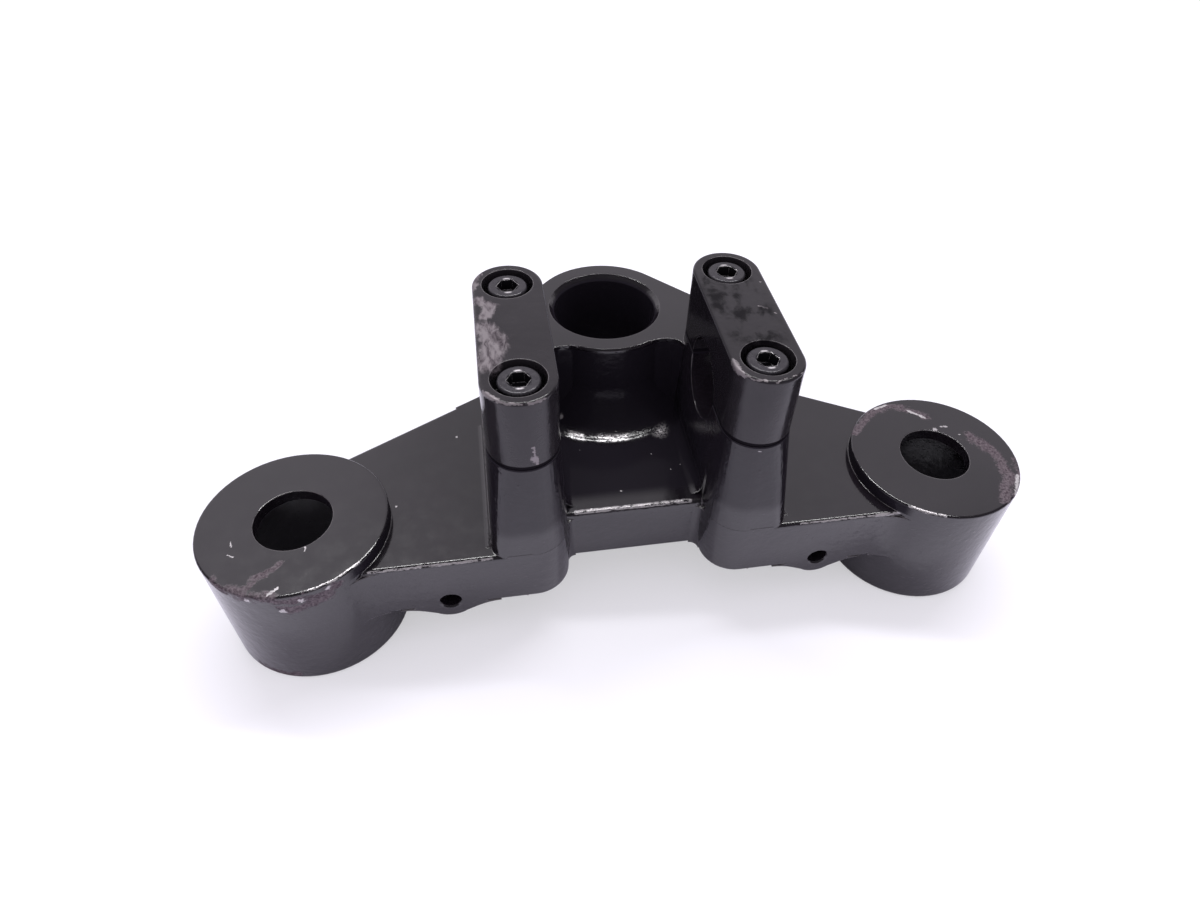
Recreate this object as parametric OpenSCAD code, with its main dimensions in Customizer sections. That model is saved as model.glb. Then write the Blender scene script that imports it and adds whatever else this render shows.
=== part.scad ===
/* [Fork sockets] */
// Distance between the two fork legs, centre to centre
fork_spacing = 180; // [172:0.5:200]
// How far the fork legs stand ahead of the steering axis
fork_offset = 55; // [51:0.5:60]
// Outer diameter of each fork socket
socket_d = 48.4; // [45:0.1:52]
// Height of each fork socket
socket_h = 38.5; // [33:0.5:46]
// How far the socket tops stand above the arms' top faces
socket_rise = 3.8; // [1.5:0.1:6]
// Diameter of the tube bore that opens below
tube_bore_d = 35; // [30:0.1:40]
// Thickness of the wall left over the tube bore
socket_roof = 3.5; // [2.5:0.1:6]
// Diameter of the bolt hole in the roof
roof_hole_d = 20; // [14:0.1:24]

/* [Steering head] */
// Bore for the steering stem
stem_bore_d = 30.8; // [26:0.1:34]
// Outer diameter of the steering head at its top face
head_d = 44.4; // [42:0.1:48]
// How far the steering head's top face stands above the arms' top faces
head_rise = 25.3; // [22:0.1:28]
// Height of the steering head, top face to spot face
head_h = 47; // [46.5:0.5:54]
// Radius of the flare where the head runs down into the bridge
head_flare_r = 12.8; // [8:0.1:14]
// Depth of the lead-in chamfer at the top of the bore
bore_chamfer_h = 1.7; // [0.5:0.1:3]
// Width of the lead-in chamfer at the top of the bore
bore_chamfer_w = 1.6; // [0.3:0.1:2]

/* [Arms and bridge] */
// Thickness of the arms and the bridge
arm_t = 18.7; // [16:0.1:20]
// Distance from the steering axis to the arms' front faces
front_reach = 72; // [70:0.1:75]
// Distance from the steering axis to the bridge's front face
bridge_reach = 59.8; // [56:0.1:64]
// Distance that the arm's rear edge runs behind the fork axis
arm_rear_offset = 15.9; // [12:0.1:19]
// Angle of the arm's rear edge, seen from above
arm_rear_angle = 29.6; // [26:0.1:33]
// Rounding of the bridge's upper front edge
bridge_round_r = 2.4; // [1:0.1:4]
// Rounding of the arms' long edges
edge_r = 1.1; // [0.5:0.1:1.5]

/* [Handlebar clamps] */
// Distance between the two clamps, centre to centre
clamp_spacing = 58.8; // [56:0.1:62]
// How far the handlebar axis lies ahead of the steering axis
bar_offset = 40.8; // [38:0.1:42]
// Diameter of the handlebar that the clamps hold
bar_d = 22.2; // [20:0.1:25.4]
// Height of the joint face above the steering head's top face
joint_rise = 3.1; // [2:0.1:5]
// Width of a clamp cap
cap_w = 18.2; // [16:0.1:20]
// Height of a clamp cap
cap_h = 21.2; // [19:0.1:24]
// Distance between a clamp's two screws
screw_spacing = 37.6; // [35:0.1:40]
// Taper of the post's outer side, top to arm
post_outer_flare = 1.5; // [0:0.1:3]
// Taper of the post's inner side, top to arm
post_inner_flare = 1.2; // [0:0.1:3]
// Plan radius of the post's inner front corner
post_corner_r = 9.8; // [6:0.1:12]
// Rounding along the cap's top edge
cap_edge_r = 0.8; // [0.3:0.1:1.5]

/* [Clamp screws] */
// Thread diameter of the clamp screws
screw_d = 6; // [5:0.5:8]
// Length of a clamp screw under its head
screw_l = 30; // [26:1:32]
// Diameter of the screw head
screw_head_d = 10.2; // [9:0.1:13]
// Height of the screw head
screw_head_h = 6; // [5:0.1:8]
// Width across the flats of the hexagon socket
hex_af = 5; // [4:0.5:6]
// Depth of the hexagon socket
hex_depth = 3; // [2:0.1:4]
// Diameter of the counterbore in the cap
counterbore_d = 13.3; // [12:0.1:14]
// How far the screw heads lie below the cap's top
head_sink = 0.55; // [0:0.05:2]
// Radial clearance of a screw in the cap
screw_clear = 0.3; // [0.1:0.05:0.6]
// Radial clearance that stands for the thread in the post
thread_clear = 0.05; // [0.02:0.01:0.1]

/* [Lamp bolt holes] */
// Distance between the two front bolt holes
lamp_hole_spacing = 104.6; // [100:0.1:108]
// Height of the holes' axis above the arms' underside
lamp_hole_rise = 2.1; // [1.5:0.1:4]
// Diameter of the front bolt holes
lamp_hole_d = 5.4; // [5:0.1:7]
// Depth of the front bolt holes
lamp_hole_depth = 18; // [12:0.5:22]
// Radius of the lug round each hole
lug_r = 6.4; // [5.5:0.1:8]

/* [Hidden] */
$fn = 96;
// Side count of the blended outlines
blend_fn = 48;
// Overshoot of every cut past the face that it opens
cut = 1;
// Thickness of the slices that a blend is drawn between
slice = 0.05;

// Levels, from the arms' top faces at zero
arm_top = 0;
arm_bottom = arm_top - arm_t;
head_top = arm_top + head_rise;
head_bottom = head_top - head_h;
socket_top = arm_top + socket_rise;
socket_bottom = socket_top - socket_h;
joint_z = head_top + joint_rise;
cap_top = joint_z + cap_h;
screw_top = cap_top - head_sink;
screw_seat = screw_top - screw_head_h;

// Places in plan
fork_x = fork_spacing / 2;
clamp_x = clamp_spacing / 2;
screw_ys = [-bar_offset - screw_spacing / 2, -bar_offset + screw_spacing / 2];
lamp_x = lamp_hole_spacing / 2;
arm_rear = [
  fork_x + arm_rear_offset * sin(arm_rear_angle),
  -fork_offset + arm_rear_offset * cos(arm_rear_angle)
];

// Steering head's side walls lean out by this much, head top to arm underside
head_draft = 2.6;
function head_wall_r(z) = head_d / 2 + head_draft * (head_top - z) / (head_top - arm_bottom);

// The shoulder is the block behind the posts, flush with the head's top face
shoulder_inset = 0.5;
shoulder_corner_r = 6;
shoulder_front = 18.6;
shoulder_x = clamp_x + cap_w / 2;
shoulder_r = head_d / 2 - shoulder_inset;
shoulder_lean = 43.1;
shoulder_corner_x = shoulder_x - shoulder_corner_r;
shoulder_corner_y = (shoulder_r - shoulder_corner_r - shoulder_corner_x * cos(shoulder_lean))
                    / sin(shoulder_lean);

// The post's sides, and the level where it stands on its base
base_drop = 0.4;
base_top = arm_top - base_drop;
post_outer = clamp_x + cap_w / 2 + post_outer_flare;
post_inner = clamp_x - cap_w / 2 - post_inner_flare;
foot_inset = 0.03;
post_front_r = 4;
post_rear_r = 2;
post_rear = -bar_offset + screw_spacing / 2 + cap_w / 2;

// Fillets in the bay between the posts
floor_fillet_r = 3;
corner_fillet_r = 5;
neck_fillet_r = 6;
bridge_fillet_r = 2.4;

// Blend from an arm's front face to its fork socket, and what a fillet overlaps its walls by
socket_blend_r = 12;
fillet_bite = 0.2;

// Small roundings of machined rims
socket_rim_r = 0.6;
socket_foot_r = 1.2;
head_rim = 0.5;
tube_lead = 1;
drill_point = 118;
thread_tail = 4.5;
screw_rim_r = 0.7;
screw_tip = 0.8;
joint_edge_r = 0.6;
lamp_lead = 0.5;
lug_flank = 25;
lug_blend_r = 15;
lug_len = 20;

// Sizes that the screw holes share
tap_r = screw_d / 2 + thread_clear;
tap_bottom = screw_seat - screw_l - thread_tail;

// Left and right copies of what is drawn on the right
module both_sides() {
  children();
  mirror([1, 0, 0]) children();
}

// A flat slice of an outline, one end of a blend
module level(z) {
  translate([0, 0, z]) linear_extrude(slice) children();
}

// Section of the waste at an edge whose solid fills the lower left quarter
module edge_section(r) {
  difference() {
    translate([-r, -r]) square(r + cut);
    translate([-r, -r]) circle(r);
  }
}

module edge_waste(r, len) {
  linear_extrude(len) edge_section(r);
}

// Metal in an inner corner whose open side is the upper right quarter
module corner_metal(r, bite) {
  difference() {
    translate([-bite, -bite]) square(r + bite);
    translate([r, r]) circle(r);
  }
}

// Half section of a round boss with a rounded rim above and below
module boss_section(r, h, rim, foot) {
  square([r - rim, h]);
  square([r - foot, h - rim]);
  translate([0, foot]) square([r, h - rim - foot]);
  translate([r - rim, h - rim]) circle(rim);
  translate([r - foot, foot]) circle(foot);
}

module fork_socket() {
  translate([fork_x, -fork_offset, socket_bottom]) rotate_extrude() intersection() {
    boss_section(socket_d / 2, socket_h, socket_rim_r, socket_foot_r);
    square([socket_d, socket_h]);
  }
}

module fork_socket_bores() {
  translate([fork_x, -fork_offset, socket_bottom]) {
    translate([0, 0, -cut]) cylinder(d = tube_bore_d, h = socket_h - socket_roof + cut);
    cylinder(d = roof_hole_d, h = socket_h + cut);
    translate([0, 0, -slice])
      cylinder(d1 = tube_bore_d + 2 * tube_lead, d2 = tube_bore_d, h = tube_lead);
  }
}

// Outline of the arm from the post to the fork socket, seen from above
module arm_outline() {
  root_y = arm_rear[1] + (arm_rear[0] - post_outer) * tan(arm_rear_angle);
  polygon([
    [clamp_x, -front_reach], [fork_x, -front_reach], arm_rear,
    [post_outer, root_y], [clamp_x, root_y]
  ]);
}

module arm() {
  front_run = fork_x - clamp_x + cut;
  rear_run = (fork_x - post_outer) / cos(arm_rear_angle);
  difference() {
    translate([0, 0, arm_bottom]) linear_extrude(arm_t) arm_outline();
    // Long front edges, above and below
    translate([post_outer - post_front_r, -front_reach, arm_top])
      rotate([90, 0, 90]) mirror([1, 0, 0]) edge_waste(edge_r, front_run);
    translate([clamp_x - cut, -front_reach, arm_bottom])
      rotate([90, 0, 90]) rotate(180) edge_waste(edge_r, front_run);
    // Long rear edges, above and below
    translate([arm_rear[0], arm_rear[1], arm_top])
      rotate([0, 0, 180 - arm_rear_angle]) rotate([90, 0, 90]) mirror([1, 0, 0])
        edge_waste(edge_r, rear_run);
    translate([arm_rear[0], arm_rear[1], arm_bottom])
      rotate([0, 0, 180 - arm_rear_angle]) rotate([90, 0, 90]) rotate(180)
        edge_waste(edge_r, rear_run);
  }
}

// Hollow blend between the arm's front face and the fork socket
module socket_blend() {
  reach = socket_d / 2 + socket_blend_r;
  y = -front_reach - socket_blend_r;
  x = fork_x - sqrt(pow(reach, 2) - pow(y + fork_offset, 2));
  crease_x = fork_x - sqrt(pow(socket_d / 2, 2) - pow(front_reach - fork_offset, 2));
  share = (socket_d / 2 - fillet_bite) / reach;
  translate([0, 0, arm_bottom]) linear_extrude(arm_t - edge_r) difference() {
    polygon([
      [x, y], [x, -front_reach + fillet_bite], [crease_x, -front_reach + fillet_bite],
      [fork_x + (x - fork_x) * share, -fork_offset + (y + fork_offset) * share]
    ]);
    translate([x, y]) circle(socket_blend_r);
  }
}

// One corner of the post's plan
module post_corner(x, y, r) {
  translate([x, y]) circle(r, $fn = blend_fn);
}

// The post's plan where it stands on its base
module post_foot() {
  front_y = -front_reach + foot_inset;
  inner_x = post_inner + foot_inset;
  outer_x = post_outer - foot_inset;
  post_corner(inner_x + post_corner_r, front_y + post_corner_r, post_corner_r);
  post_corner(outer_x - post_front_r, front_y + post_front_r, post_front_r);
  post_corner(inner_x + post_rear_r, post_rear - post_rear_r, post_rear_r);
  post_corner(outer_x - post_rear_r, post_rear - post_rear_r, post_rear_r);
}

// Handlebar post, a round-ended oblong above that spreads to the arm's width
module post() {
  hull() {
    level(joint_z - slice) {
      for (y = screw_ys) post_corner(clamp_x, y, cap_w / 2);
    }
    level(base_top) post_foot();
  }
}

// The arm's root under the post, with its round inner front corner
module post_base() {
  corner = [post_inner + post_corner_r, -front_reach + post_corner_r];
  difference() {
    translate([0, 0, arm_bottom]) linear_extrude(base_top - arm_bottom) {
      translate(corner) circle(post_corner_r);
      polygon([
        [corner[0], -front_reach], [clamp_x + cut, -front_reach], [clamp_x + cut, post_rear],
        [post_inner, post_rear], [post_inner, corner[1]], corner
      ]);
    }
    // Lower edge along the front and round the corner
    translate([corner[0], -front_reach, arm_bottom])
      rotate([90, 0, 90]) rotate(180) edge_waste(edge_r, clamp_x - corner[0] + 2 * cut);
    translate([corner[0], corner[1], arm_bottom]) intersection() {
      rotate_extrude() translate([post_corner_r, 0]) mirror([0, 1]) edge_section(edge_r);
      translate([-front_reach, -front_reach, -edge_r - cut])
        cube([front_reach, front_reach, 2 * edge_r + 2 * cut]);
    }
  }
}

// The bridge's section, front edge at the left
module bridge_section() {
  difference() {
    translate([-bridge_reach, arm_bottom]) square([bridge_reach, arm_t]);
    translate([-bridge_reach, arm_top]) mirror([1, 0]) edge_section(bridge_round_r);
    translate([-bridge_reach, arm_bottom]) rotate(180) edge_section(edge_r);
  }
}

module bridge() {
  translate([-clamp_x, 0, 0]) rotate([90, 0, 90]) linear_extrude(clamp_spacing) bridge_section();
}

// Block behind the posts that joins them to the steering head
module shoulder() {
  hull() {
    level(head_top - slice) shoulder_outline(0);
    level(arm_bottom) shoulder_outline(head_draft);
  }
}

module shoulder_outline(grow) {
  intersection() {
    circle(shoulder_r + grow, $fn = blend_fn);
    translate([-head_d, -shoulder_front - grow]) square(2 * head_d);
  }
  for (side = [-1, 1]) {
    translate([side * shoulder_corner_x, shoulder_corner_y])
      circle(shoulder_corner_r + grow, $fn = blend_fn);
    translate([side * (shoulder_x - cut) - cut, -shoulder_front - grow]) square([2 * cut, cut]);
  }
}

// Steering head with drafted sides
module steering_head() {
  rotate_extrude() polygon([
    [0, head_bottom], [head_wall_r(arm_bottom), head_bottom],
    [head_wall_r(arm_bottom), arm_bottom], [head_wall_r(head_top - head_rim), head_top - head_rim],
    [head_d / 2 - head_rim, head_top], [0, head_top]
  ]);
}

// The head's flare down to the bridge, kept to the bay between the posts
module head_flare() {
  flare_z = arm_top + head_flare_r;
  flare_x = head_wall_r(flare_z) + head_flare_r;
  intersection() {
    rotate_extrude() difference() {
      translate([0, arm_top - cut]) square([flare_x, head_flare_r + cut]);
      translate([flare_x, flare_z]) circle(head_flare_r);
    }
    translate([-clamp_x, -front_reach, arm_top - cut])
      cube([clamp_spacing, front_reach - shoulder_front / 2, head_flare_r + 2 * cut]);
  }
}

// Upright fillets between the head, the shoulder and the posts
module bay_corners() {
  // Where the round head runs into the flat front of the shoulder
  neck_r = head_d / 2;
  neck_y = shoulder_front + neck_fillet_r;
  neck_x = sqrt(pow(neck_r + neck_fillet_r, 2) - pow(neck_y, 2));
  touch = neck_r / (neck_r + neck_fillet_r);
  both_sides() {
    translate([0, 0, arm_top - cut]) linear_extrude(head_rise + cut) {
      difference() {
        polygon([
          [neck_x * touch, -neck_y * touch], [neck_x, -shoulder_front],
          [neck_x, -shoulder_front + cut], [neck_x * touch - cut, -neck_y * touch + cut]
        ]);
        translate([neck_x, -neck_y]) circle(neck_fillet_r);
      }
      translate([clamp_x - cap_w / 2, -shoulder_front]) rotate(180)
        corner_metal(corner_fillet_r, fillet_bite);
    }
  }
}

// Fillets along the posts' feet and beside the bridge's front face
module bay_floor_fillets() {
  both_sides() {
    translate([post_inner, -shoulder_front, arm_top]) rotate([90, 0, 0])
      linear_extrude(bridge_reach - bridge_round_r - shoulder_front)
        mirror([1, 0]) corner_metal(floor_fillet_r, fillet_bite);
    translate([post_inner, -bridge_reach, arm_bottom])
      linear_extrude(arm_t - bridge_round_r)
        rotate(180) corner_metal(bridge_fillet_r, fillet_bite);
  }
}

// Fillet where the post's outer side stands on the arm
module post_side_fillet() {
  run = front_reach - post_front_r - bar_offset + screw_spacing / 2;
  translate([post_outer, -front_reach + post_front_r + run, arm_top]) rotate([90, 0, 0])
    linear_extrude(run) corner_metal(floor_fillet_r / 2, fillet_bite);
}

// Blend from a lug's flank to the arm's underside, where the two lines meet at a foot
module lug_blend(foot) {
  along = lug_blend_r * tan(lug_flank / 2);
  centre = foot + [along, -lug_blend_r];
  touch = foot - along * [cos(lug_flank), sin(lug_flank)];
  difference() {
    polygon([
      centre, foot + [along, fillet_bite], foot + [-fillet_bite, fillet_bite],
      touch + fillet_bite * [-sin(lug_flank), cos(lug_flank)]
    ]);
    translate(centre) circle(lug_blend_r);
  }
}

// Rounded lug that hangs below the arm round the lamp bolt hole
module lamp_lug() {
  z = arm_bottom + lamp_hole_rise;
  side_x = (lug_r - fillet_bite) * sin(lug_flank);
  side_z = -(lug_r - fillet_bite) * cos(lug_flank);
  flank = (arm_bottom - z - side_z) / tan(lug_flank);
  translate([lamp_x, -front_reach + lug_len, z]) rotate([90, 0, 0]) linear_extrude(lug_len) {
    circle(lug_r);
    polygon([
      [-side_x - flank, arm_bottom - z], [-side_x, side_z], [side_x, side_z],
      [side_x + flank, arm_bottom - z], [0, lug_r]
    ]);
    lug_blend([side_x + flank, arm_bottom - z]);
    mirror([1, 0]) lug_blend([side_x + flank, arm_bottom - z]);
  }
}

module lamp_hole() {
  r = lamp_hole_d / 2;
  translate([lamp_x, -front_reach, arm_bottom + lamp_hole_rise]) rotate([-90, 0, 0]) {
    translate([0, 0, -cut]) cylinder(r = r, h = lamp_hole_depth + cut);
    translate([0, 0, lamp_hole_depth]) cylinder(r1 = r, r2 = 0, h = r / tan(drill_point / 2));
    translate([0, 0, -slice]) cylinder(r1 = r + lamp_lead, r2 = r, h = lamp_lead);
  }
}

// Tapped holes for one post's two screws
module post_screw_holes() {
  for (y = screw_ys) translate([clamp_x, y, tap_bottom]) {
    cylinder(r = tap_r, h = joint_z - tap_bottom + cut);
    translate([0, 0, -tap_r / tan(drill_point / 2)])
      cylinder(r1 = 0, r2 = tap_r, h = tap_r / tan(drill_point / 2));
  }
}

// The half round seats for the handlebar, cut through post and cap alike
module bar_bore() {
  translate([clamp_x, -bar_offset, joint_z]) rotate([0, 90, 0])
    cylinder(d = bar_d, h = 2 * (post_outer - post_inner), center = true);
}

module stem_bore() {
  r = stem_bore_d / 2;
  translate([0, 0, head_bottom - cut]) cylinder(r = r, h = head_h + 2 * cut);
  translate([0, 0, head_top - bore_chamfer_h])
    cylinder(r1 = r, r2 = r + bore_chamfer_w, h = bore_chamfer_h + slice);
  translate([0, 0, head_bottom - slice])
    cylinder(r1 = r + bore_chamfer_w, r2 = r, h = bore_chamfer_w);
}

module yoke_casting() {
  color([0.07, 0.07, 0.075]) difference() {
    union() {
      both_sides() {
        arm();
        post();
        post_base();
        socket_blend();
        post_side_fillet();
        lamp_lug();
        fork_socket();
      }
      bridge();
      shoulder();
      steering_head();
      head_flare();
      bay_corners();
      bay_floor_fillets();
    }
    both_sides() {
      fork_socket_bores();
      lamp_hole();
      post_screw_holes();
      bar_bore();
    }
    stem_bore();
  }
}

// Section of a cap with its edges rounded
module cap_section() {
  translate([-cap_w / 2, joint_edge_r]) square([cap_w, cap_h - cap_edge_r - joint_edge_r]);
  translate([-cap_w / 2 + cap_edge_r, 0]) square([cap_w - 2 * cap_edge_r, cap_h]);
  for (side = [-1, 1]) {
    translate([side * (cap_w / 2 - cap_edge_r), cap_h - cap_edge_r]) circle(cap_edge_r);
    translate([side * (cap_w / 2 - joint_edge_r), joint_edge_r]) circle(joint_edge_r);
    translate([side * (cap_w / 2 - cap_edge_r), cap_edge_r / 2])
      square([2 * (cap_edge_r - joint_edge_r), cap_edge_r], center = true);
  }
}

// Clamp cap, an oblong bar with round ends and a half round seat below
module clamp_cap() {
  difference() {
    translate([clamp_x, -bar_offset, joint_z]) {
      translate([0, screw_spacing / 2, 0]) rotate([90, 0, 0])
        linear_extrude(screw_spacing) cap_section();
      for (y = [-screw_spacing / 2, screw_spacing / 2]) translate([0, y, 0])
        rotate_extrude() intersection() {
          cap_section();
          square([cap_w, cap_h]);
        }
    }
    bar_bore();
    for (y = screw_ys) translate([clamp_x, y, 0]) {
      cylinder(r = screw_d / 2 + screw_clear, h = cap_top);
      translate([0, 0, screw_seat]) cylinder(d = counterbore_d, h = cap_top - screw_seat + cut);
    }
  }
}

module clamp_cap_left() {
  color([0.09, 0.09, 0.095]) mirror([1, 0, 0]) clamp_cap();
}

module clamp_cap_right() {
  color([0.09, 0.09, 0.095]) clamp_cap();
}

// Socket head screw, standing on the seat of its counterbore
module clamp_screw(x, y) {
  head_r = screw_head_d / 2;
  thread_r = screw_d / 2;
  hex_r = hex_af / sqrt(3);
  color([0.15, 0.15, 0.16]) translate([x, y, screw_seat]) difference() {
    union() {
      rotate_extrude() {
        square([head_r - screw_rim_r, screw_head_h]);
        square([head_r, screw_head_h - screw_rim_r]);
        intersection() {
          translate([head_r - screw_rim_r, screw_head_h - screw_rim_r]) circle(screw_rim_r);
          square([head_r, screw_head_h]);
        }
      }
      translate([0, 0, -screw_l + screw_tip]) cylinder(r = thread_r, h = screw_l);
      translate([0, 0, -screw_l]) cylinder(r1 = thread_r - screw_tip, r2 = thread_r, h = screw_tip);
    }
    translate([0, 0, screw_head_h - hex_depth]) cylinder(r = hex_r, h = hex_depth + cut, $fn = 6);
  }
}

module screw_left_front() {
  clamp_screw(-clamp_x, screw_ys[0]);
}

module screw_left_rear() {
  clamp_screw(-clamp_x, screw_ys[1]);
}

module screw_right_front() {
  clamp_screw(clamp_x, screw_ys[0]);
}

module screw_right_rear() {
  clamp_screw(clamp_x, screw_ys[1]);
}

yoke_casting();
clamp_cap_left();
clamp_cap_right();
screw_left_front();
screw_left_rear();
screw_right_front();
screw_right_rear();
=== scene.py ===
import bpy
from mathutils import Matrix, Vector


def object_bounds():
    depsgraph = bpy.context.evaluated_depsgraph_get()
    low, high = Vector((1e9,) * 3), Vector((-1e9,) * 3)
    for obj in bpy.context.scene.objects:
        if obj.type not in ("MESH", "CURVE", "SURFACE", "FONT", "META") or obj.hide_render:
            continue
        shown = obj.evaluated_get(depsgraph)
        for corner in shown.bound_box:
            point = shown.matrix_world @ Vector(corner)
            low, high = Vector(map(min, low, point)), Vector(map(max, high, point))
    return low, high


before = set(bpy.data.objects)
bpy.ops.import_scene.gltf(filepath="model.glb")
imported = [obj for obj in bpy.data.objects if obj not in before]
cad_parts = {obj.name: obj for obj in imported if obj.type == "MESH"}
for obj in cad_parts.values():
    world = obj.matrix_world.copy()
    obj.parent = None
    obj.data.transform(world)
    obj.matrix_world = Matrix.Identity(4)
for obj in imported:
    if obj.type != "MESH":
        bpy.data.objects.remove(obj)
cad_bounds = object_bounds()


# Casting
# One iron casting with black enamel over the rough skin of the mould. The
# enamel is chipped and rusty round the sockets' rims and thin on the edges.
# Painted highlights lie along some edges and the flare's foot, and painted
# shade darkens the bay, the stem bore, the posts' fronts and the collars' steps.

class Wire:
    """A shader socket that adds, scales and compares like a number."""

    def __init__(self, tree, socket=None):
        self.tree = tree
        self.socket = socket

    def node(self, kind, settings=None, inputs=None, output=0):
        made = self.tree.nodes.new(kind)
        for name, value in (settings or {}).items():
            setattr(made, name, value)
        for name, value in (inputs or {}).items():
            if isinstance(value, Wire):
                self.tree.links.new(value.socket, made.inputs[name])
            else:
                made.inputs[name].default_value = value
        return Wire(self.tree, made.outputs[output])

    def math(self, operation, *values):
        return self.node("ShaderNodeMath", {"operation": operation}, dict(enumerate(values)))

    def vector(self, operation, *others):
        """Vector Math on this and others, of which two operations give a number."""
        output = 1 if operation in ("DOT_PRODUCT", "LENGTH") else 0
        return self.node("ShaderNodeVectorMath", {"operation": operation},
                         dict(enumerate((self,) + others)), output)

    def __add__(self, other):
        return self.math("ADD", self, other)

    def __radd__(self, other):
        return self.math("ADD", other, self)

    def __sub__(self, other):
        return self.math("SUBTRACT", self, other)

    def __rsub__(self, other):
        return self.math("SUBTRACT", other, self)

    def __mul__(self, other):
        return self.math("MULTIPLY", self, other)

    def __rmul__(self, other):
        return self.math("MULTIPLY", other, self)

    def __or__(self, other):
        """The larger of the two, so that masks join."""
        return self.math("MAXIMUM", self, other)

    def __ror__(self, other):
        return self.math("MAXIMUM", other, self)

    def __abs__(self):
        return self.math("ABSOLUTE", self)

    def step(self, low, high, start=0.0, end=1.0):
        """Runs smoothly from start to end while this value runs from low to high."""
        return self.node("ShaderNodeMapRange", {"interpolation_type": "SMOOTHSTEP"}, {
            "Value": self, "From Min": low, "From Max": high, "To Min": start, "To Max": end})

    def fall(self, low, high):
        """Runs smoothly from 1 to 0 while this value runs from low to high."""
        return self.step(low, high, 1.0, 0.0)

    def mix(self, below, above):
        """Colour below where this value is 0, and above where it is 1."""
        return self.node("ShaderNodeMix", {"data_type": "RGBA"},
                         {0: self, 6: below, 7: above}, 2)

    def part(self, index):
        """One coordinate of this place."""
        return self.node("ShaderNodeSeparateXYZ", None, {0: self}, index)

    def scaled(self, x, y, z):
        return self.vector("MULTIPLY", (x, y, z))

    def noise(self, per_mm, detail=2.0, rough=0.5, twist=0.0, output=0):
        return self.node("ShaderNodeTexNoise", None, {
            "Vector": self, "Scale": per_mm, "Detail": detail, "Roughness": rough,
            "Distortion": twist}, output)

    def ragged(self, per_mm, reach):
        """This place, shaken by noise so that what is drawn there gets a ragged outline."""
        shake = self.noise(per_mm, 3.0, 0.6, output=1).vector("SUBTRACT", (0.5, 0.5, 0.5))
        return self.vector("ADD", shake.scaled(2 * reach, 2 * reach, 2 * reach))

    def marks(self, lines, fade):
        """Brush marks in millimetres, each a line of points and its reach on either side.

        The outer part of the reach, as large as fade says, runs out smoothly."""
        found = None
        for points, reach in lines:
            for start, end in zip(points, points[1:] or points):
                away = self.vector("SUBTRACT", start)
                run = Vector(end) - Vector(start)
                if run.length > 0:
                    along = away.vector("DOT_PRODUCT", run / run.length_squared)
                    along = along.math("MINIMUM", along | 0.0, 1.0)
                    away = away.vector("SUBTRACT", along.vector("MULTIPLY", run))
                blot = away.vector("LENGTH").fall(reach * (1 - fade), reach)
                found = blot if found is None else found | blot
        return found


def level(z, *points):
    """The points of a mark that stays on one level."""
    return [(x, y, z) for x, y in points]


def new_material(name):
    """A material, its shader and the place in millimetres as a wire."""
    material = bpy.data.materials.new(name)
    material.use_nodes = True
    shader = material.node_tree.nodes["Principled BSDF"]
    metres = Wire(material.node_tree).node("ShaderNodeTexCoord", output=3)
    return material, shader, metres.scaled(1000, 1000, 1000)


def plug(shader, name, wire):
    wire.tree.links.new(wire.socket, shader.inputs[name])


def soft_normal(place, radius_mm):
    """The surface's normal as if every edge were rounded by this radius."""
    return place.node("ShaderNodeBevel", {"samples": 8}, {"Radius": radius_mm / 1000})


def edge_mask(soft, low, high):
    """1 along sharp edges, from how far the rounded normal leans from the true one."""
    true = soft.node("ShaderNodeNewGeometry", output=1)
    return (1.0 - soft.vector("DOT_PRODUCT", true)).step(low, high)


def bump(height, depth_mm, normal):
    return height.node("ShaderNodeBump", None, {
        "Height": height, "Distance": depth_mm / 1000, "Strength": 1.0, "Normal": normal})


def seam(place, height, full, out):
    """1 at a height and up to full away from it, above and below, and 0 from out onwards."""
    return abs(place.part(2) - height).fall(full, out)


def lay_over(shader, where, upper):
    """Shows the upper shader instead of this one where the mask is 1."""
    tree = where.tree
    mixed = where.node("ShaderNodeMixShader", None, {
        0: where, 1: Wire(tree, shader.outputs[0]), 2: upper})
    tree.links.new(mixed.socket, tree.nodes["Material Output"].inputs["Surface"])


def add_shade_and_grime(shader, where, colour):
    """Lets a lustreless coat take the enamel's place, as painted shade and as real dirt and rust.
    """
    shade_and_grime = where.node("ShaderNodeBsdfPrincipled", None, {
        "Base Color": colour, "Roughness": 1.0, "Specular IOR Level": 0.0})
    lay_over(shader, where, shade_and_grime)


# Heights of the sockets' roofs, the head's ring and the handlebar, in millimetres
roof_z = 3.8
ring_z = 25.3
bar_z = 28.4


def rusty_rims(place):
    """Rust and rubbing round the rims of the two sockets."""
    rub = place.ragged(0.20, 2.6).marks([
        ([(-106.5, -72.5, 3.2), (-99.6, -76.7, 3.0), (-91.8, -78.9, 2.4), (-84.1, -78.2, 1.5),
          (-77.4, -75.9, 1.8)], 2.6),
        (level(roof_z, (-100.1, -76.0), (-91.9, -68.9)), 1.7),
        ([(-90.0, -79.2, -1.2), (-80.0, -77.2, -0.4)], 3.0),
        (level(-32.8, (-105.0, -74.0), (-94.9, -78.7)), 2.8),
        (level(roof_z, (69.5, -43.0), (76.5, -36.7), (82.5, -33.9), (88.2, -34.1),
               (93.9, -38.8)), 2.6),
        (level(roof_z, (104.0, -49.4), (108.0, -57.5), (107.6, -66.0), (102.5, -73.5)), 3.6),
        (level(3.2, (112.8, -60.0), (110.6, -68.0), (105.8, -74.0)), 2.0),
    ], fade=0.9)
    grit = place.scaled(0.8, 0.8, 1.4).noise(0.7, 7.0, 0.72, twist=0.8)
    return (rub + grit * 1.8).step(1.10, 1.80) * rub.step(0.02, 0.35)


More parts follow.
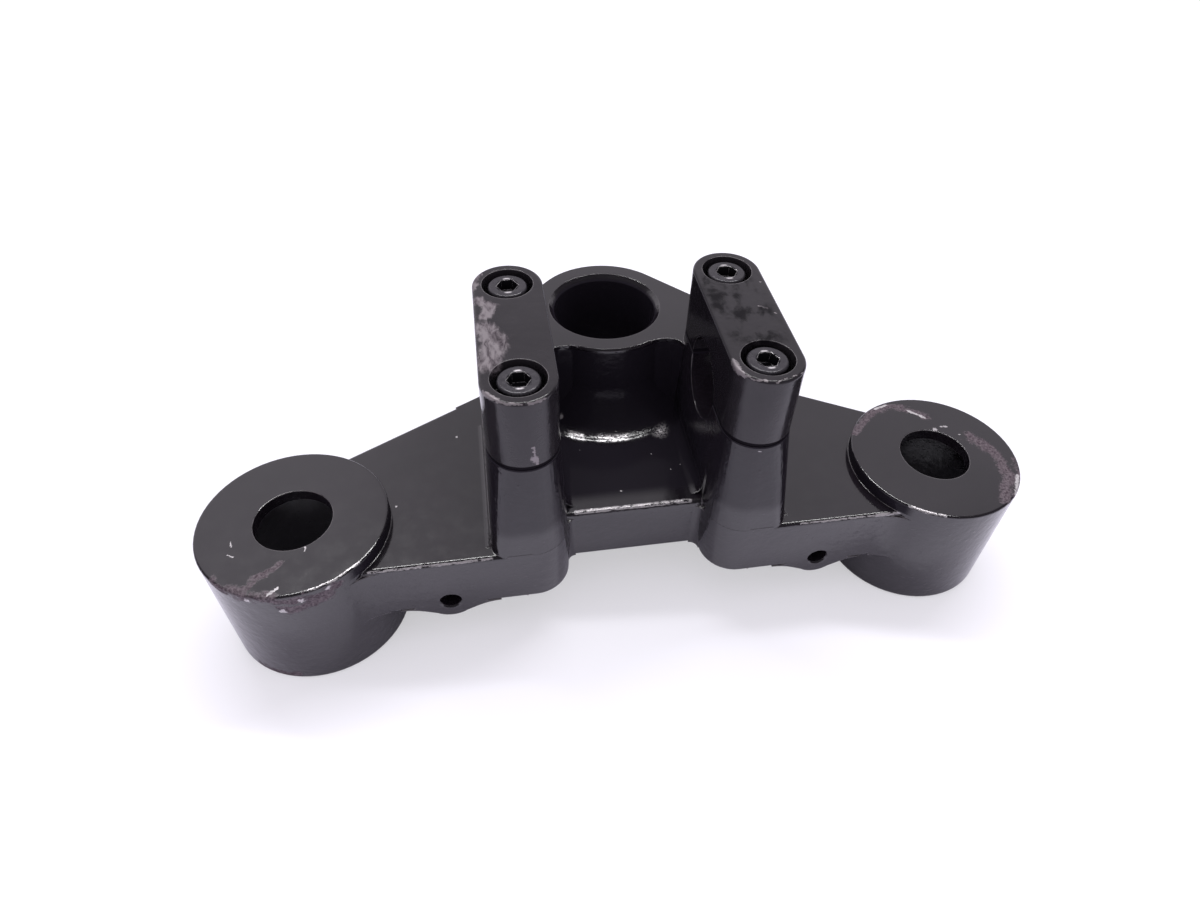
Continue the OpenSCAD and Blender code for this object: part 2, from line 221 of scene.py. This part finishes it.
def chips_to_metal(shaken, crumbs):
    """Chips and scratches down to metal, on the sockets first and then between them."""
    near = shaken.marks([
        (level(roof_z, (-93.3, -77.9), (-91.2, -76.3)), 0.8),
        (level(roof_z, (-104.5, -60.3), (-104.1, -62.0)), 0.5),
        (level(roof_z, (-104.6, -64.4), (-103.2, -65.2)), 0.5),
        (level(roof_z, (-86.1, -63.8), (-85.9, -65.6)), 0.5),
        ([(-86.0, -78.8, 1.2)], 1.9),
        ([(-91.0, -79.2, -1.8)], 1.9),
        ([(-79.6, -76.8, 2.4)], 1.7),
        ([(-98.4, -77.5, 2.2)], 1.6),
        ([(-64.6, -50.6, 0.0)], 0.9),
        ([(-47.7, -25.8, 0.0)], 0.9),
        (level(roof_z, (94.8, -45.2)), 1.5),
        (level(roof_z, (97.0, -44.1), (98.8, -44.4)), 0.9),
        (level(roof_z, (101.3, -48.2)), 0.9),
        (level(roof_z, (90.0, -36.2), (93.9, -39.9)), 1.0),
        (level(roof_z, (80.0, -34.0), (84.0, -32.9)), 1.0),
        (level(3.6, (110.2, -66.6), (106.0, -73.6)), 1.5),
        ([(28.3, -69.0, 27.2)], 0.8),
        ([(-3.0, -53.4, 0.0)], 0.7),
        ([(8.2, -40.3, 0.0)], 0.6),
        ([(12.7, -47.1, 0.0)], 0.5),
        ([(15.8, -45.5, 0.0)], 0.5),
        ([(-12.3, -36.0, 0.2)], 0.5),
    ], fade=0.9)
    return (near + crumbs * 1.8).step(1.52, 1.80) * near.step(0.02, 0.15)


def bare_edges_and_highlights(place):
    """Broken lines along the front edges, the rims and one edge of the head, part bare metal and
    part painted highlight.
    """
    line = place.ragged(0.8, 0.3).marks([
        (level(-0.6, (-16.4, -59.0), (15.7, -59.0)), 0.75),
        (level(-0.3, (-71.0, -71.7), (-40.0, -71.7)), 0.42),
        (level(-0.3, (44.0, -71.7), (66.0, -71.7)), 0.32),
        (level(-0.3, (66.0, -71.7), (73.0, -71.8)), 0.55),
        (level(3.6, (74.2, -72.8), (77.9, -75.5), (82.6, -77.6)), 0.50),
        (level(3.6, (-72.5, -71.1), (-78.0, -75.6), (-84.2, -78.1)), 0.40),
        ([(-16.3, -22.5, 4.4), (-16.4, -23.5, 2.2)], 0.9),
    ], fade=0.5)
    return line * place.scaled(0.7, 1.4, 1.4).noise(0.9, 5.0, 0.7).step(0.39, 0.48)


def casting_material():
    deep_black, black = (0.0050, 0.0042, 0.0058, 1), (0.0120, 0.0095, 0.0130, 1)
    dark_rust, pale_rust = (0.034, 0.021, 0.030, 1), (0.135, 0.112, 0.125, 1)
    worn_enamel, metal = (0.17, 0.155, 0.165, 1), (0.45, 0.43, 0.44, 1)
    shade_and_dirt = (0.0125, 0.0108, 0.0150, 1)
    material, shader, place = new_material("casting_enamel")
    shader.inputs["IOR"].default_value = 1.68
    x, y, z = (place.part(index) for index in range(3))
    soft = soft_normal(place, 0.5)
    rust = rusty_rims(place)
    crumbs = place.noise(1.6, 5.0, 0.75, twist=0.4)
    shaken = place.ragged(1.1, 0.5)
    chips = chips_to_metal(shaken, crumbs)
    bare_and_highlights = bare_edges_and_highlights(place)

    # Painted highlight: metal-coloured grains along the flare's foot, where the lamp's line falls,
    # and wider at its right end
    radius = place.scaled(1, 1, 0).vector("LENGTH")
    spray = shaken.marks([([(12.6, -32.2, 0.4), (16.0, -28.8, 3.8)], 3.2)], fade=0.8)
    foot = radius.step(29.6, 31.4) * radius.fall(34.6, 36.0) * z.fall(1.6, 2.6)
    foot = foot * x.fall(14.5, 15.5)
    core = radius.step(31.0, 32.2) * radius.fall(33.6, 34.6)
    thick = x.step(-15.4, -14.2) * x.fall(-11.2, -9.6) | x.step(-8.0, -5.5) * x.fall(1.0, 4.5)
    glint = (foot * core * thick * 0.8 | spray) * crumbs.step(0.43, 0.52)
    chips_and_glints = chips | bare_and_highlights | glint * (y.step(-37.5, -36.5) * z.step(-0.3, 0.1))

    # Thin enamel along the other edges, though not in the bay's inner corners
    bay = abs(x).fall(19.4, 20.6) * y.step(-58.8, -58.2)
    bay = bay * z.fall(23.6, 24.8) * z.step(-1.2, -0.6) * y.fall(-17.0, -13.0)
    thin = edge_mask(soft, 0.03, 0.20) * place.noise(0.30, 4.0, 0.6).step(0.32, 0.56) * (1.0 - bay)

    enamel = place.noise(0.05, 3.0).mix(deep_black, black)
    brown = crumbs.step(0.38, 0.62).mix(dark_rust, pale_rust)
    colour = (thin * 0.8).mix(rust.mix(enamel, brown), worn_enamel)
    # Metal colour shows in real chips and in the painted highlights on edges and the flare's foot
    plug(shader, "Base Color", chips_and_glints.mix(colour, metal))
    gloss = place.noise(0.22, 3.0, 0.6).step(0.3, 0.7, 0.08, 0.16)
    plug(shader, "Roughness", gloss + rust * 0.35 + chips_and_glints * 0.15 + thin * 0.12)
    plug(shader, "Metallic", chips_and_glints * 0.5)

    # Machined seats are smooth, the rest keeps the mould's skin
    upward = place.node("ShaderNodeNewGeometry", output=1).part(2).step(0.90, 0.98)
    machined = seam(place, roof_z, 0.1, 0.3) | seam(place, ring_z, 0.1, 0.3)
    machined = upward * (machined | seam(place, -0.2, 0.3, 0.6))
    skin = place.noise(0.38, 3.0, 0.55) + place.noise(2.0, 3.0, 0.6) * 0.18
    pips = place.noise(0.70, 1.0).step(0.66, 0.76)
    height = (skin + pips * 0.25) * (1.0 - machined * 0.92)

    # The bridge's round front edge shines as if it turned upward sooner
    lip = abs(x).fall(19.0, 20.0) * z.step(-1.6, -1.2)
    lip = lip * y.step(-59.1, -58.8) * y.fall(-57.4, -57.0)
    plug(shader, "Normal", bump(height, 0.15, lip.mix(soft, (0, 0, 1, 1))))

    # Painted shade: a matte dark coat dulls and darkens the bay, less towards its front edge, and
    # not at the foot of the flare
    lit = foot * crumbs.step(0.40, 0.50) * (0.45 + 0.55 * thick)
    coat = z.step(0.0, 6.0, 0.93, 0.86) - lit * 0.86
    shade_and_grime = bay * y.step(-57.2, -52.5, 0.12, 1.0) * coat * (1.0 - chips_and_glints)

    # The coat also lies as dirt in the clamp joints, and as painted shade in the stem bore and on
    # the posts' fronts
    shade_and_grime = shade_and_grime | seam(place, bar_z, 0.3, 0.7) * 0.9 | radius.step(15.6, 16.2, 0.85, 0.0)
    shade_and_grime = shade_and_grime | z.step(5.0, 9.0) * y.fall(-58.0, -54.0) * 0.36

    # Painted shade fills the step round each socket's collar, and rust is as lustreless
    collar = z.step(0.2, 0.5) * z.fall(3.2, 3.6) * abs(x).step(60.0, 62.0)
    collar = collar * abs(x).fall(82.0, 86.0) * y.step(-74.5, -72.5)
    shade_and_grime = shade_and_grime | collar * 0.9 | rust * (1.0 - chips_and_glints) * 0.75
    add_shade_and_grime(shader, shade_and_grime, rust.mix(shade_and_dirt, brown))
    return material


def dress(node, material):
    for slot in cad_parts[node].material_slots:
        slot.material = material


dress("yoke_casting", casting_material())


# Clamp caps
# Two milled iron caps in the same black enamel, rubbed pale on the left one's
# top and mottled on the right one's. Two screws hold each to its post.

# Heights of a cap's top and of its rounded edge, in millimetres
cap_top_z = 49.6
rim_z = 49.3


def left_scuffs(place):
    """Pale rubbing on the left cap's top, and the colour of the rubbed enamel."""
    dull, pale = (0.052, 0.038, 0.047, 1), (0.165, 0.146, 0.156, 1)
    rub = place.ragged(0.28, 1.6).marks([
        (level(cap_top_z, (-37.0, -28.5), (-34.0, -31.5), (-36.0, -35.5)), 3.0),
        (level(cap_top_z, (-36.5, -40.5), (-33.6, -45.5), (-36.0, -54.0)), 5.2),
        (level(49.5, (-38.3, -24.0), (-36.6, -17.0)), 1.6),
    ], fade=0.8)
    swirl = place.scaled(1.3, 0.5, 1.0).noise(0.45, 5.0, 0.66, twist=0.5)
    scuff = (rub + swirl * 1.8).step(1.15, 2.00) * rub.step(0.02, 0.35)
    return scuff, swirl.step(0.36, 0.62).mix(dull, pale)


def right_scuffs(place):
    """Dull mottling on the right cap's top, and its colour."""
    rub = place.ragged(0.28, 1.6).marks([
        (level(cap_top_z, (27.5, -29.0), (29.5, -49.0)), 9.5),
    ], fade=0.8)
    cloud = place.scaled(1.0, 0.7, 1.0).noise(0.20, 5.0, 0.65, twist=0.3)
    return rub.step(0.0, 0.5) * cloud.step(0.44, 0.64), (0.0035, 0.003, 0.004, 1)


# Chips on the caps' front ends and tops
left_nicks = [
    ([(-27.4, -68.8, 35.6), (-27.1, -68.8, 32.0)], 1.0),
    ([(-27.3, -68.8, 32.2), (-26.7, -68.8, 30.6)], 1.9),
    (level(rim_z, (-37.1, -64.8), (-33.0, -67.8), (-27.3, -68.3), (-23.0, -66.9)), 0.7),
    (level(49.4, (-37.6, -63.4), (-34.6, -66.4)), 1.3),
]
right_nicks = [
    (level(cap_top_z, (33.1, -39.0), (35.0, -40.4)), 0.5),
    (level(cap_top_z, (36.4, -42.6)), 0.7),
    (level(cap_top_z, (36.8, -28.6)), 0.6),
    (level(rim_z, (20.4, -62.5), (23.6, -66.6), (28.9, -68.3), (36.2, -65.8)), 0.5),
    (level(49.4, (20.6, -60.0), (21.4, -65.0)), 2.0),
]


def cap_material(side, scuffs, nicks, scuff_grime):
    deep_black, black = (0.0100, 0.0088, 0.0108, 1), (0.0230, 0.0205, 0.0240, 1)
    worn_enamel, metal = (0.21, 0.195, 0.205, 1), (0.21, 0.19, 0.20, 1)
    material, shader, place = new_material("cap_enamel_" + side)
    shader.inputs["IOR"].default_value = 1.42
    soft = soft_normal(place, 0.45)
    scuff, tone = scuffs(place)
    near = place.ragged(0.9, 0.6).marks(nicks, fade=0.9)
    chips = (near + place.noise(1.3, 5.0, 0.75) * 1.6).step(1.30, 1.60) * near.step(0.02, 0.15)
    thin = edge_mask(soft, 0.03, 0.18) * place.noise(0.25, 4.0, 0.6).step(0.28, 0.52)

    enamel = place.noise(0.10, 4.0, 0.6).mix(deep_black, black)
    colour = (thin * 0.8).mix(scuff.mix(enamel, tone), worn_enamel)
    plug(shader, "Base Color", (chips * 0.9).mix(colour, metal))
    gloss = place.noise(0.3, 3.0).step(0.3, 0.7, 0.10, 0.17)
    plug(shader, "Roughness", gloss + scuff * 0.25 + chips * 0.2 + thin * 0.15)
    plug(shader, "Metallic", chips * 0.3)
    height = place.noise(0.5, 3.0, 0.55) + place.noise(2.0, 2.0) * 0.2 - chips * 0.7
    plug(shader, "Normal", bump(height, 0.07, soft))

    # Grime lies in the joint and in the right cap's mottling; painted shade darkens the inner side
    # facing the bay
    shade_and_grime = seam(place, 28.8, 0.75, 0.95) * 0.95
    shade_and_grime = shade_and_grime | abs(place.part(0)).step(20.4, 21.0, 0.6, 0.0) | scuff * scuff_grime
    add_shade_and_grime(shader, shade_and_grime, (0.006, 0.005, 0.007, 1))
    return material


dress("clamp_cap_left", cap_material("left", left_scuffs, left_nicks, 0.0))
dress("clamp_cap_right", cap_material("right", right_scuffs, right_nicks, 0.7))


# Clamp screws
# Turned socket head screws in blackened steel, one at each end of a cap. The
# key has worn the rims of their hexagons bright, and painted highlights sit
# as glints at the front and back of each rim.

# Places of the screws and of the handlebar, and the radius of the rim's painted glints, in
# millimetres
screw_x = 29.4
bar_y = -40.8
screw_from_bar = 18.8
rim_radius = 3.15


def screw_material():
    material, shader, place = new_material("screw_black")
    soft = soft_normal(place, 0.4)
    worn_and_glints = edge_mask(soft, 0.01, 0.14) * place.noise(0.9, 3.0, 0.6).step(0.34, 0.54)

    # All four screws share one pattern, measured from each screw's own axis
    x, y, z = (place.part(index) for index in range(3))
    across = abs(abs(x) - screw_x)
    along = abs(abs(y - bar_y) - screw_from_bar)
    radius = across.math("SQRT", across * across + along * along)
    # Painted highlight: glints on each hexagon's rim, at its front and back
    rim_glints = abs(radius - rim_radius).fall(0.15, 0.42) * across.fall(0.3, 1.2)
    worn_and_glints = worn_and_glints | rim_glints * z.step(48.4, 48.8)

    black = place.noise(0.4, 3.0).mix((0.018, 0.017, 0.021, 1), (0.052, 0.048, 0.056, 1))
    plug(shader, "Base Color", worn_and_glints.mix(black, (0.70, 0.68, 0.69, 1)))
    plug(shader, "Roughness", place.noise(0.7, 3.0).step(0.3, 0.7, 0.18, 0.34))
    plug(shader, "Metallic", worn_and_glints * 0.6 + 0.35)
    plug(shader, "Normal", bump(place.noise(3.0, 2.0), 0.03, soft))

    # Painted shade darkens the heads below their tops and in and round the hexagons
    recess_shade = z.step(48.1, 48.6, 0.9, 0.0) | radius.step(2.8, 3.0, 0.9, 0.0)
    add_shade_and_grime(shader, recess_shade * (1.0 - worn_and_glints), (0.004, 0.004, 0.005, 1))
    return material


black_steel = screw_material()
for side in ("left", "right"):
    for row in ("front", "rear"):
        dress("screw_{}_{}".format(side, row), black_steel)


# Floor, lamp and camera
# A white table in a pale room with a dark ceiling, under one long tube lamp,
# seen from where the photograph was taken. Lengths are in metres.

white = (1, 1, 1, 1)
floor_reach = 2.5
floor_glow = 0.46
foot_z = cad_bounds[0].z
corners = [(x * floor_reach, y * floor_reach, foot_z)
           for x, y in ((-1, -1), (1, -1), (1, 1), (-1, 1))]
floor_mesh = bpy.data.meshes.new("floor")
floor_mesh.from_pydata(corners, [], [(0, 1, 2, 3)])
floor = bpy.data.objects.new("floor", floor_mesh)
bpy.context.scene.collection.objects.link(floor)

# The camera sees the floor brighter than the lamp and the room make it
paper, shader, place = new_material("floor_white")
shader.inputs["Base Color"].default_value = (0.90, 0.885, 0.985, 1)
shader.inputs["Roughness"].default_value = 0.7
glow = place.node("ShaderNodeEmission", None, {"Color": white, "Strength": 1.0})
seen = place.node("ShaderNodeLightPath")
lay_over(shader, seen * floor_glow, glow)
floor_mesh.materials.append(paper)

# The camera sees a white room. The gloss sees it bright only beyond the part,
# and less so at the right.
world = bpy.data.worlds.new("studio")
bpy.context.scene.world = world
world.use_nodes = True
tree = world.node_tree
sky = tree.nodes["Background"]
path = Wire(tree).node("ShaderNodeLightPath")
tree.links.new(path.mix((0.97, 0.925, 1.0, 1), white).socket, sky.inputs["Color"])
rays = path.socket.node.outputs
shining = Wire(tree, rays["Is Glossy Ray"]) | Wire(tree, rays["Is Transmission Ray"])
toward = Wire(tree).node("ShaderNodeTexCoord")
room = toward.part(1).step(0.30, 0.55, 0.15, 1.0) * toward.part(0).step(-0.24, -0.04, 1.0, 0.74)
tree.links.new((1.0 - shining * (1.0 - room)).socket, sky.inputs["Strength"])

tube_data = bpy.data.lights.new("tube", "AREA")
tube_data.shape = "RECTANGLE"
tube_data.size, tube_data.size_y = 0.90, 0.08
tube_data.energy = 6.0
tube = bpy.data.objects.new("tube", tube_data)
tube.location = (0.08, 0.27, 0.85)
lamp_aim = Vector((0, -0.04, 0)) - tube.location
tube.rotation_euler = lamp_aim.to_track_quat("-Z", "Y").to_euler()
bpy.context.scene.collection.objects.link(tube)

right = Vector((0.9848, -0.1696, 0.0389))
up = Vector((0.0946, 0.7095, 0.6984))
back = -Vector((0.1460, 0.6840, -0.7147))
eye = Vector((-0.03368, -0.19613, 0.16508))
camera_data = bpy.data.cameras.new("camera")
camera_data.sensor_width = 36
camera_data.lens = 23.50
camera_data.shift_x = -0.0188
camera_data.shift_y = 0.0011
camera_data.clip_start = 0.01
camera = bpy.data.objects.new("camera", camera_data)
turn = Matrix((right, up, back)).transposed().to_4x4()
camera.matrix_world = Matrix.Translation(eye) @ turn
bpy.context.scene.collection.objects.link(camera)
bpy.context.scene.camera = camera
bpy.context.scene.view_settings.view_transform = "Standard"
